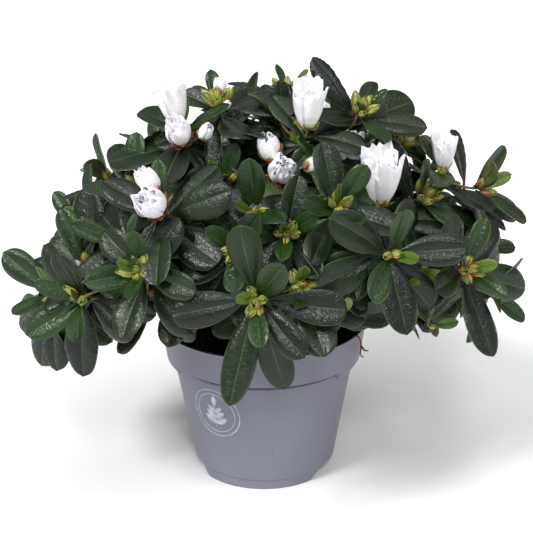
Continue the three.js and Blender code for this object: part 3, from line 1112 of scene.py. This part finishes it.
def add_leaf(leaves, base, along, normal, length, age, **changes):
    """One leaf. age runs from 0, just unfolded, to 1, full grown."""
    normal = unit(normal - along * (normal @ along))
    old = rng.choice(GROWN_SHADES, p=GROWN_SHARES)
    bend = math.radians(rng.normal(-30, 14)) * (0.3 + 0.7 * age)
    looks = {
        "base": base,
        "along": along,
        "normal": normal,
        "length": length,
        "width": length * rng.uniform(0.45, 0.58) * (0.7 + 0.3 * age),
        "bend": bend if abs(bend) > LEAST_BEND else LEAST_BEND,
        "cup": rng.normal(0.08, 0.12) + 0.35 * (1 - age),
        "edge": rng.uniform(0.2, 0.8),
        "twist": math.radians(rng.normal(0, 12)),
        "taper": rng.uniform(0.62, 0.95),
        "blunt": rng.uniform(0.4, 0.52),
        "quilt": rng.uniform(0.45, 1.05) * age,
        "groove": rng.uniform(0.5, 0.9),
        "wave": rng.uniform(0.1, 0.9) * age,
        "phase": rng.uniform(0, 1),
        "shade": old if age > 0.45 else FRESH if age > 0.2 else YOUNG,
    }
    leaves.append({**looks, **changes})


def hides_flower(base, end, flowers):
    """Whether a leaf from base to end lies before the face of a flower."""
    for middle, facing, size in flowers:
        for share in (0.3, 0.5, 0.7, 0.9):
            away = base + (end - base) * share - middle
            before = away @ facing
            if before > 0 and np.linalg.norm(away - before * facing) < FLOWER_HALF * size + FLOWER_ROOM:
                return True
    return False


def may_grow(base, end, flowers):
    """Whether a leaf leaves the pot's mouth, the flowers and the room below the crown in view."""
    over_mouth = end[2] < MOUTH_CLEAR and end[1] < 0 and abs(end[0]) < RIM_RADIUS
    too_low = end[2] < LEAF_FLOOR - LEAF_FLOOR_RISE * min(end[1], 0)
    return not (over_mouth or too_low or hides_flower(base, end, flowers))


def leafy_shoot(leaves, shoot, flowers):
    """A whorl of leaves round a shoot's tip, older ones further down and further open."""
    count = int(rng.integers(*(INNER_LEAVES if shoot.name == "inner" else OUTER_LEAVES)))
    first, second = across(shoot.axis)
    start = rng.uniform(0, 2 * math.pi)
    size = rng.uniform(*LEAF_LENGTH)
    rows = SINGLE_LEAVES.get(shoot.name, ())
    singles = [direction(*row[:2]) for row in rows]
    outward = unit(shoot.tip - CROWN_MIDDLE)
    for index in range(count):
        age = index / (count - 1)
        turn = start + index * GOLDEN_TURN + rng.normal(0, 0.14)
        radial = math.cos(turn) * first + math.sin(turn) * second
        open_angle = math.radians(22 + 70 * age**0.7 + rng.normal(0, 7))
        along = math.cos(open_angle) * shoot.axis + math.sin(open_angle) * radial
        normal = math.sin(open_angle) * shoot.axis - math.cos(open_angle) * radial
        along = unit(along - UP * 0.3 * age**1.5)
        normal = normal + 0.8 * age * shoot.facing + 0.15 * UP
        base = shoot.tip - shoot.axis * (0.5 + 15 * age**1.3) + radial * TIP_RADIUS * 0.7
        length = size * (0.4 + 0.6 * age**0.5) * rng.uniform(0.88, 1.1)
        if along @ outward < INWARD:
            length *= INWARD_SHARE
        if (base + along * length)[2] > LEAF_CEILING:
            length *= CEILING_SHARE
        has_room = all(along @ single < SINGLE_ROOM for single in singles)
        if has_room and may_grow(base, base + along * length, flowers):
            add_leaf(leaves, base, along, normal, length, min(1, 0.12 + 1.1 * age))
    for along, (_, _, length, width) in zip(singles, rows):
        base = shoot.tip - shoot.axis * 5 + along * np.array([3, 3, 0])
        changes = {"width": length * width, "shade": int(rng.choice([DARK, DEEP]))}
        add_leaf(leaves, base, along, shoot.facing + 0.2 * UP, length, 1.0, **changes)


def foliage_levels():
    """The masses by their level, and the low and middle ones by front and back as well."""
    levels = {}
    for name in MASSES:
        level = name.split("_")[1]
        if level != "top":
            level += "_front" if MASS_CENTRES[name][1] < 0 else "_back"
        levels.setdefault(level, []).append(name)
    return levels


def build_leaves(shoots):
    """Every shoot's leaves, joined by the masses that they stand for."""
    materials = [leaf_material(*shade) for shade in SHADES]
    materials += [plain_plant_material(*part) for part in LEAF_PARTS]
    flowers = []
    for shoot in shoots:
        if shoot.carries in SHOWN:
            middle = shoot.tip + shoot.axis * shoot.size * 0.5
            flowers.append((middle, unit(shoot.facing + 0.35 * UP), shoot.size))
    for level, masses in foliage_levels().items():
        soup = Soup()
        kept = [shoot for shoot in shoots if shoot.mass in masses]
        add_leaves(soup, [shoot for shoot in kept if shoot.name != "inner"], flowers, FINE)
        add_leaves(soup, [shoot for shoot in kept if shoot.name == "inner"], flowers, COARSE)
        soup.make(f"leaves_{level}", materials, "foliage", masses)


def add_leaves(soup, shoots, flowers, grid):
    """The leaves of some shoots, all cut to one grid."""
    leaves = []
    for shoot in shoots:
        leafy_shoot(leaves, shoot, flowers)
    if leaves:
        table = {field: np.array([leaf[field] for leaf in leaves]) for field in leaves[0]}
        others = len(SHADES) + np.arange(len(LEAF_PARTS))
        slots = [(shade, *others) for shade in table["shade"]]
        soup.add(leaf_points(table, *grid), leaf_template(grid[0], len(grid[1]), len(grid[2])), slots)


# ---- buds and flowers

SCALE_TONES = (
    ("scale_green", (120, 132, 52), (170, 172, 84), 0.45),
    ("scale_red", (132, 64, 42), (176, 108, 70), 0.5),
    ("scale_tan", (152, 84, 46), (196, 128, 80), 0.55),
)
SCALE_GRAIN = 200
GREEN_SCALE, RED_SCALE, TAN_SCALE = range(len(SCALE_TONES))

# Clusters of leaf and flower buds: how many, how long, and the colours they are dealt.
CLUSTERS = {
    "nothing": (0, 0, [GREEN_SCALE]),
    "leaves": (1, 6, [GREEN_SCALE]),
    "buds": (6, 11.5, [GREEN_SCALE, GREEN_SCALE, RED_SCALE]),
    "buds_small": (3, 9.5, [GREEN_SCALE, RED_SCALE]),
    "buds_red": (6, 12, [RED_SCALE, RED_SCALE, TAN_SCALE]),
    "buds_brown": (4, 12, [TAN_SCALE, RED_SCALE]),
    "bud_single": (1, 10, [TAN_SCALE]),
}

# Buds beside every flower, and those beside white buds.
FLOWER_BUDS = (3, 8.5, [GREEN_SCALE, TAN_SCALE])
WHITE_BUDS = (6, 12, [GREEN_SCALE, GREEN_SCALE, RED_SCALE])

# The flowers of one shoot: their kind, the foot's shift from the tip, which way they point, and their
# share of the shoot's size. Shift and way are given along the shoot, to its front and to its right.
ARRANGEMENTS = {
    "white_bud": (("white_bud", (0, 2, 0), (1, 0.2, 0), 1),),
    "buds_white": (
        ("white_bud", (4, -3, 0), (1, -0.2, 0), 1),
        ("white_bud", (0, 4, 5), (1, 0, 0.8), 0.6),
    ),
    "rose": (("rose", (2, 0, 0), (1, 0, 0), 1),),
    "rose_pair": (
        ("rose", (2, 0, 0), (1, 0.4, 0), 1),
        ("rose", (4, -9, -4), (1, -0.2, -0.4), 0.7),
    ),
    "rose_cluster": (
        ("rose", (2, 0, 0), (1, 0.5, 0), 1),
        ("white_bud", (8, -8, -3), (1, 0, -0.15), 1),
        ("white_bud", (3, 0, 13), (0.5, 0, 1), 0.75),
        ("white_bud", (-3, 9, -11), (0, 1, -0.9), 0.6),
    ),
    "funnel": (("funnel", (2, 0, 0), (1, 0, 0), 1),),
    "funnel_pair": (
        ("funnel", (2, 0, -3), (1, 0, -0.1), 1),
        ("rose", (-3, 8, 4), (1, 0.3, 0), 0.7),
        ("white_bud", (1, 6, 15), (1, 0, 0.8), 0.45),
    ),
}

PETAL_ROWS, PETAL_COLUMNS = 10, 15
PETAL_OVERLAP = 1.35
PETAL_RUFFLE = 0.16

# Rings of petals from the outside in: how many, how wide and how tall they are.
ROSE_LAYERS = ((4, 1, 0.98), (4, 0.72, 1.08))
FUNNEL_LAYERS = ((5, 1, 1), (4, 0.74, 0.9))

# A scale's width falls by this share towards its tip.
SCALE_POINT = 0.96
SCALE_RUFFLE = 0.05
SCALE_ROWS, SCALE_COLUMNS = 6, 5
SHEET_THICKNESS = 0.35
PETAL_TEMPLATE = sheet_template(PETAL_ROWS, PETAL_COLUMNS, 2)
SCALE_TEMPLATE = sheet_template(SCALE_ROWS, SCALE_COLUMNS)
WHITE, THROAT = 0, 1


def sheet_grid(count, rows, columns, start, unevenness):
    """Shares along and across the sheets of a ring, and each sheet's turn."""
    share = np.linspace(0, 1, rows)[None, :, None]
    side = np.linspace(-1, 1, columns)[None, None, :]
    turn = start + np.arange(count) * 2 * math.pi / count + rng.normal(0, unevenness, count)
    return share, side, turn[:, None, None]


def ring_points(radius, angle, rise):
    """The sheets of a ring round an upright axis, closed behind."""
    grid = np.stack([radius * np.cos(angle), radius * np.sin(angle), rise + 0 * angle], -1)
    return sheet_points(grid, SHEET_THICKNESS)


def scale_ring(count, height, width, radii, start):
    """Pointed scales in a ring. radii is the distance from the axis, from foot to tip."""
    share, side, turn = sheet_grid(count, SCALE_ROWS, SCALE_COLUMNS, start, 0.12)
    radius = np.interp(share, np.linspace(0, 1, len(radii)), radii) * rng.uniform(0.93, 1.07, (count, 1, 1))
    half = width / 2 * np.minimum(1, (0.25 + share / 0.45) / 1.25) * (1 - SCALE_POINT * share**1.8)
    angle = turn + side * half / np.maximum(radius, 0.45 * max(radii))
    phases = rng.uniform(0, 2 * math.pi, (4, count, 1, 1))
    lip = share**2.6
    wobble = np.sin(6.0 * side + phases[0]) + 0.5 * np.sin(10.5 * side + phases[1])
    radius = radius + SCALE_RUFFLE * (lip * wobble + 0.7 * np.sin(3.1 * side + phases[2]) * share)
    rise = height * share * rng.uniform(0.9, 1.05, (count, 1, 1))
    rise = rise * (1 - 0.1 * (1 - SCALE_POINT) * side**2 * share**2)
    return ring_points(radius, angle, rise + 0.8 * SCALE_RUFFLE * lip * np.sin(8.0 * side + phases[3]))


def petal_ring(count, height, radii, ruffle, start):
    """Broad petals in a ring, each with one edge over the next, wrinkled, and frilled at the rim."""
    share, side, turn = sheet_grid(count, PETAL_ROWS, PETAL_COLUMNS, start, 0.08)
    profile = np.polyfit(np.linspace(0, 1, len(radii)), radii, 3)
    radius = np.polyval(profile, share) * rng.uniform(0.95, 1.05, (count, 1, 1))
    corner = 1 - 0.3 * np.maximum(0, (share - 0.75) / 0.25) ** 2
    angle = turn + side * math.pi / count * PETAL_OVERLAP * corner
    phases = rng.uniform(0, 2 * math.pi, (5, count, 1, 1))
    frill = share**3
    radius = radius + 0.09 * max(radii) * side
    radius = radius + ruffle * frill * (np.sin(5 * side + phases[0]) + 0.5 * np.sin(8.5 * side + phases[1]))
    radius = radius + 0.6 * ruffle * share * np.sin(2.6 * side + phases[2]) * np.sin(4 * share + phases[3])
    rise = height * (share * rng.uniform(0.92, 1.05, (count, 1, 1)) - 0.05 * side**2 * share**2)
    return ring_points(radius, angle, rise + 0.9 * ruffle * frill * np.sin(7 * side + phases[4]))


def placed(points, foot, axis):
    """Upright local points moved to a foot and turned to an axis."""
    first, second = across(axis)
    return foot + points @ np.stack([first, second, axis])


class Blossom:
    """All flowers and buds, gathered by kind."""

    def __init__(self):
        self.petals = {"front": Soup(), "back": Soup()}
        self.scales = {"front": Soup(), "back": Soup()}

    def gather(self, soups, points, foot, axis, template, slots):
        """Puts a ring in its place, in the piece for its half of the plant."""
        soups["front" if foot[1] < 0 else "back"].add(placed(points, foot, axis), template, slots)

    def ring(self, foot, axis, count, height, fat, radii, ruffle, start=0.0):
        """A ring of white petals, greenish at the foot. radii and ruffle are shares of fat."""
        points = petal_ring(count, height, [fat * r for r in radii], fat * ruffle, start)
        self.gather(self.petals, points, foot, axis, PETAL_TEMPLATE, (WHITE, THROAT))

    def husk(self, foot, axis, count, height, fat, width, radii, slot, start=0.0):
        """A ring of pointed scales. width and radii are shares of fat."""
        points = scale_ring(count, height, fat * width, [fat * r for r in radii], start)
        self.gather(self.scales, points, foot, axis, SCALE_TEMPLATE, (slot,))

    def bud(self, foot, axis, length, tint):
        """A pointed bud of overlapping scales."""
        fat = length * rng.uniform(0.17, 0.23)
        start = rng.uniform(0, 6)
        self.husk(foot, axis, 5, length, fat, 2.3, (0.45, 0.9, 1, 0.75, 0.18), GREEN_SCALE, start)
        self.husk(foot, axis, 4, length * 0.72, fat, 1.9, (0.55, 1.04, 1.1, 0.85), tint, start + 0.6)
        slot = RED_SCALE if rng.uniform() < 0.5 else GREEN_SCALE
        self.husk(foot, axis, 3, length * 0.45, fat, 1.3, (0.6, 1.05, 1.3), slot, start + 1.4)

    def white_bud(self, foot, axis, length):
        """A bud whose petals already show, closed and crumpled."""
        fat = length * 0.3
        closed = np.array([0.4, 0.9, 1, 0.9, 0.5])
        self.ring(foot, axis, 3, length, fat, closed, PETAL_RUFFLE, rng.uniform(0, 6))
        self.ring(foot, axis, 3, length * 0.95, fat, closed * 0.6, PETAL_RUFFLE)
        self.husk(foot, axis, 5, length * 0.5, fat, 1.4, (0.55, 1.05, 1.15), GREEN_SCALE)
        self.husk(foot, axis, 3, length * 0.42, fat, 1.4, (0.6, 1.1, 1.4), TAN_SCALE, 0.5)

    def core(self, foot, axis, height, fat):
        """The crumpled petals that fill the middle of a double flower."""
        for reach in (1, 0.5):
            radii = reach * np.array([0.3, 0.8, 1, 0.95, 0.75])
            self.ring(foot, axis, 3, height, fat, radii, PETAL_RUFFLE, rng.uniform(0, 6))

    def rose(self, foot, axis, size):
        """A double flower half open, its ruffled petals still curled over each other."""
        curl = np.array([0.15, 0.3, 0.37, 0.35, 0.26])
        for layer, (count, reach, tall) in enumerate(ROSE_LAYERS):
            self.ring(foot, axis, count, size * tall, size, reach * curl, 0.075, layer * 0.7)
        self.core(foot, axis, size * 1.12, size * 0.2)
        husk = (0.15, 0.33, 0.46)
        self.husk(foot - axis * 1.5, axis, 6, size * 0.5, size, 0.26, husk, TAN_SCALE, 0.3)
        self.husk(foot - axis * 2, axis, 5, size * 0.35, size, 0.22, husk, RED_SCALE, 0.9)

    def funnel(self, foot, axis, size):
        """A flower opening from a tube to a wide frilled mouth, with smaller petals inside."""
        flare = np.array([0.1, 0.21, 0.28, 0.3, 0.34])
        for layer, (count, reach, tall) in enumerate(FUNNEL_LAYERS):
            self.ring(foot, axis, count, size * tall, size, reach * flare, 0.034, layer * 0.65)
        self.core(foot, axis, size * 0.8, size * 0.17)
        tan, green = (1.6 / size, 0.17, 0.24), (1.8 / size, 0.18, 0.28)
        self.husk(foot - axis * 2, axis, 5, size * 0.3, size, 0.17, tan, TAN_SCALE, 0.3)
        self.husk(foot - axis * 2, axis, 5, size * 0.22, size, 0.14, green, GREEN_SCALE, 0.9)

    def crown_of_buds(self, shoot, count, length, tints):
        """Buds standing close together in the middle of the whorl."""
        first, second = across(shoot.axis)
        start = rng.uniform(0, 6)
        for index in range(count):
            lean = 0.0 if index == 0 else rng.uniform(0.4, 0.9)
            turn = start + index * GOLDEN_TURN
            sideways = math.cos(turn) * first + math.sin(turn) * second
            axis = unit(shoot.axis + lean * sideways)
            foot = shoot.tip + sideways * (0 if index == 0 else 2.2) - shoot.axis * 0.5
            self.bud(foot, axis, length * rng.uniform(0.75, 1.1), int(rng.choice(tints)))

    def carry(self, shoot):
        """What a shoot carries, by its kind."""
        if shoot.carries in CLUSTERS:
            self.crown_of_buds(shoot, *CLUSTERS[shoot.carries])
            return
        self.crown_of_buds(shoot, *FLOWER_BUDS)
        if shoot.carries == "buds_white":
            self.crown_of_buds(shoot, *WHITE_BUDS)
        front = unit(shoot.facing - shoot.axis * (shoot.facing @ shoot.axis))
        basis = np.array([shoot.axis, front, np.cross(shoot.axis, front)])
        grow = {"rose": self.rose, "funnel": self.funnel, "white_bud": self.white_bud}
        for kind, shift, aim, share in ARRANGEMENTS[shoot.carries]:
            grow[kind](shoot.tip + shift @ basis, unit(aim @ basis), shoot.size * share)

    def make(self):
        """The pieces, once every shoot has what it carries."""
        white = petal_material("petal_white", (241, 240, 245), (250, 249, 252))
        throat = petal_material("petal_throat", (214, 220, 164), (234, 236, 202))
        for side, soup in self.petals.items():
            soup.make(f"petals_{side}", [white, throat], "foliage", crumpled=True)
        tones = [plain_plant_material(*tone, SCALE_GRAIN) for tone in SCALE_TONES]
        for side, soup in self.scales.items():
            soup.make(f"bud_scales_{side}", tones, "foliage")


# ---- floor, light and camera

WHITE_BOUNCES = 14
VIEW_DISTANCE = 900
VIEW_ELEVATION = 21.1
VIEW_ROLL = 0.53
LOOK_AT = np.array([2.1, 0.0, 122.7])
LENS = 105.9
SENSOR = 36.0
FLOOR_SIZE = 12
WORLD_STRENGTH = 0.42

# Broad soft lights from far off: turn, lift, strength, and width in the sky in degrees.
SUNS = {
    "key_light": (-48, 46, 2.35, 16),
    "front_light": (4, 40, 0.85, 12),
    "side_light": (66, 42, 0.5, 18),
    "top_light": (0, 88, 0.6, 50),
}


def build_floor():
    """The white sheet under the pot, out to beyond the view."""
    bpy.ops.mesh.primitive_plane_add(size=FLOOR_SIZE, location=(0, 0, 0))
    floor = bpy.context.object
    floor.name = "floor"
    floor.data.materials.append(floor_material())
    floor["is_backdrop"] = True


def build_lights():
    """An even white sky and the suns."""
    world = bpy.data.worlds.new("studio")
    world.use_nodes = True
    sky = world.node_tree.nodes["Background"].inputs
    sky["Color"].default_value = (1, 1, 1, 1)
    sky["Strength"].default_value = WORLD_STRENGTH
    bpy.context.scene.world = world
    for name, (turn, lift, strength, softness) in SUNS.items():
        data = bpy.data.lights.new(name, "SUN")
        data.energy = strength
        data.angle = math.radians(softness)
        light = bpy.data.objects.new(name, data)
        light.rotation_euler = Vector(-direction(turn, lift)).to_track_quat("-Z", "Y").to_euler()
        bpy.context.scene.collection.objects.link(light)


def build_camera():
    """The photo's own view."""
    back = direction(0, VIEW_ELEVATION)
    data = bpy.data.cameras.new("camera")
    data.lens = LENS
    data.sensor_width = SENSOR
    data.clip_start = 0.01
    camera = bpy.data.objects.new("camera", data)
    place = Matrix.Translation(Vector((LOOK_AT + back * VIEW_DISTANCE) * MM))
    aim = Vector(-back).to_track_quat("-Z", "Y").to_matrix().to_4x4()
    camera.matrix_world = place @ aim @ Matrix.Rotation(math.radians(-VIEW_ROLL), 4, Vector((0, 0, 1)))
    bpy.context.scene.collection.objects.link(camera)
    bpy.context.scene.camera = camera


# ---- all of it

build_camera()
build_floor()
build_lights()
bpy.context.scene.view_settings.view_transform = "Standard"

# White petals and a white floor pass light on many times.
bpy.context.scene.cycles.diffuse_bounces = WHITE_BOUNCES
bpy.context.scene.cycles.max_bounces = WHITE_BOUNCES

shoots = place_shoots()
build_pot()
build_mark()
build_soil()
build_limbs(shoots)
build_leaves(shoots)
blossom = Blossom()
for shoot in shoots:
    blossom.carry(shoot)
blossom.make()

boxes = {"cad": cad_box, "visual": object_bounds()}
{name: [list(map(float, corner)) for corner in box] for name, box in boxes.items()}
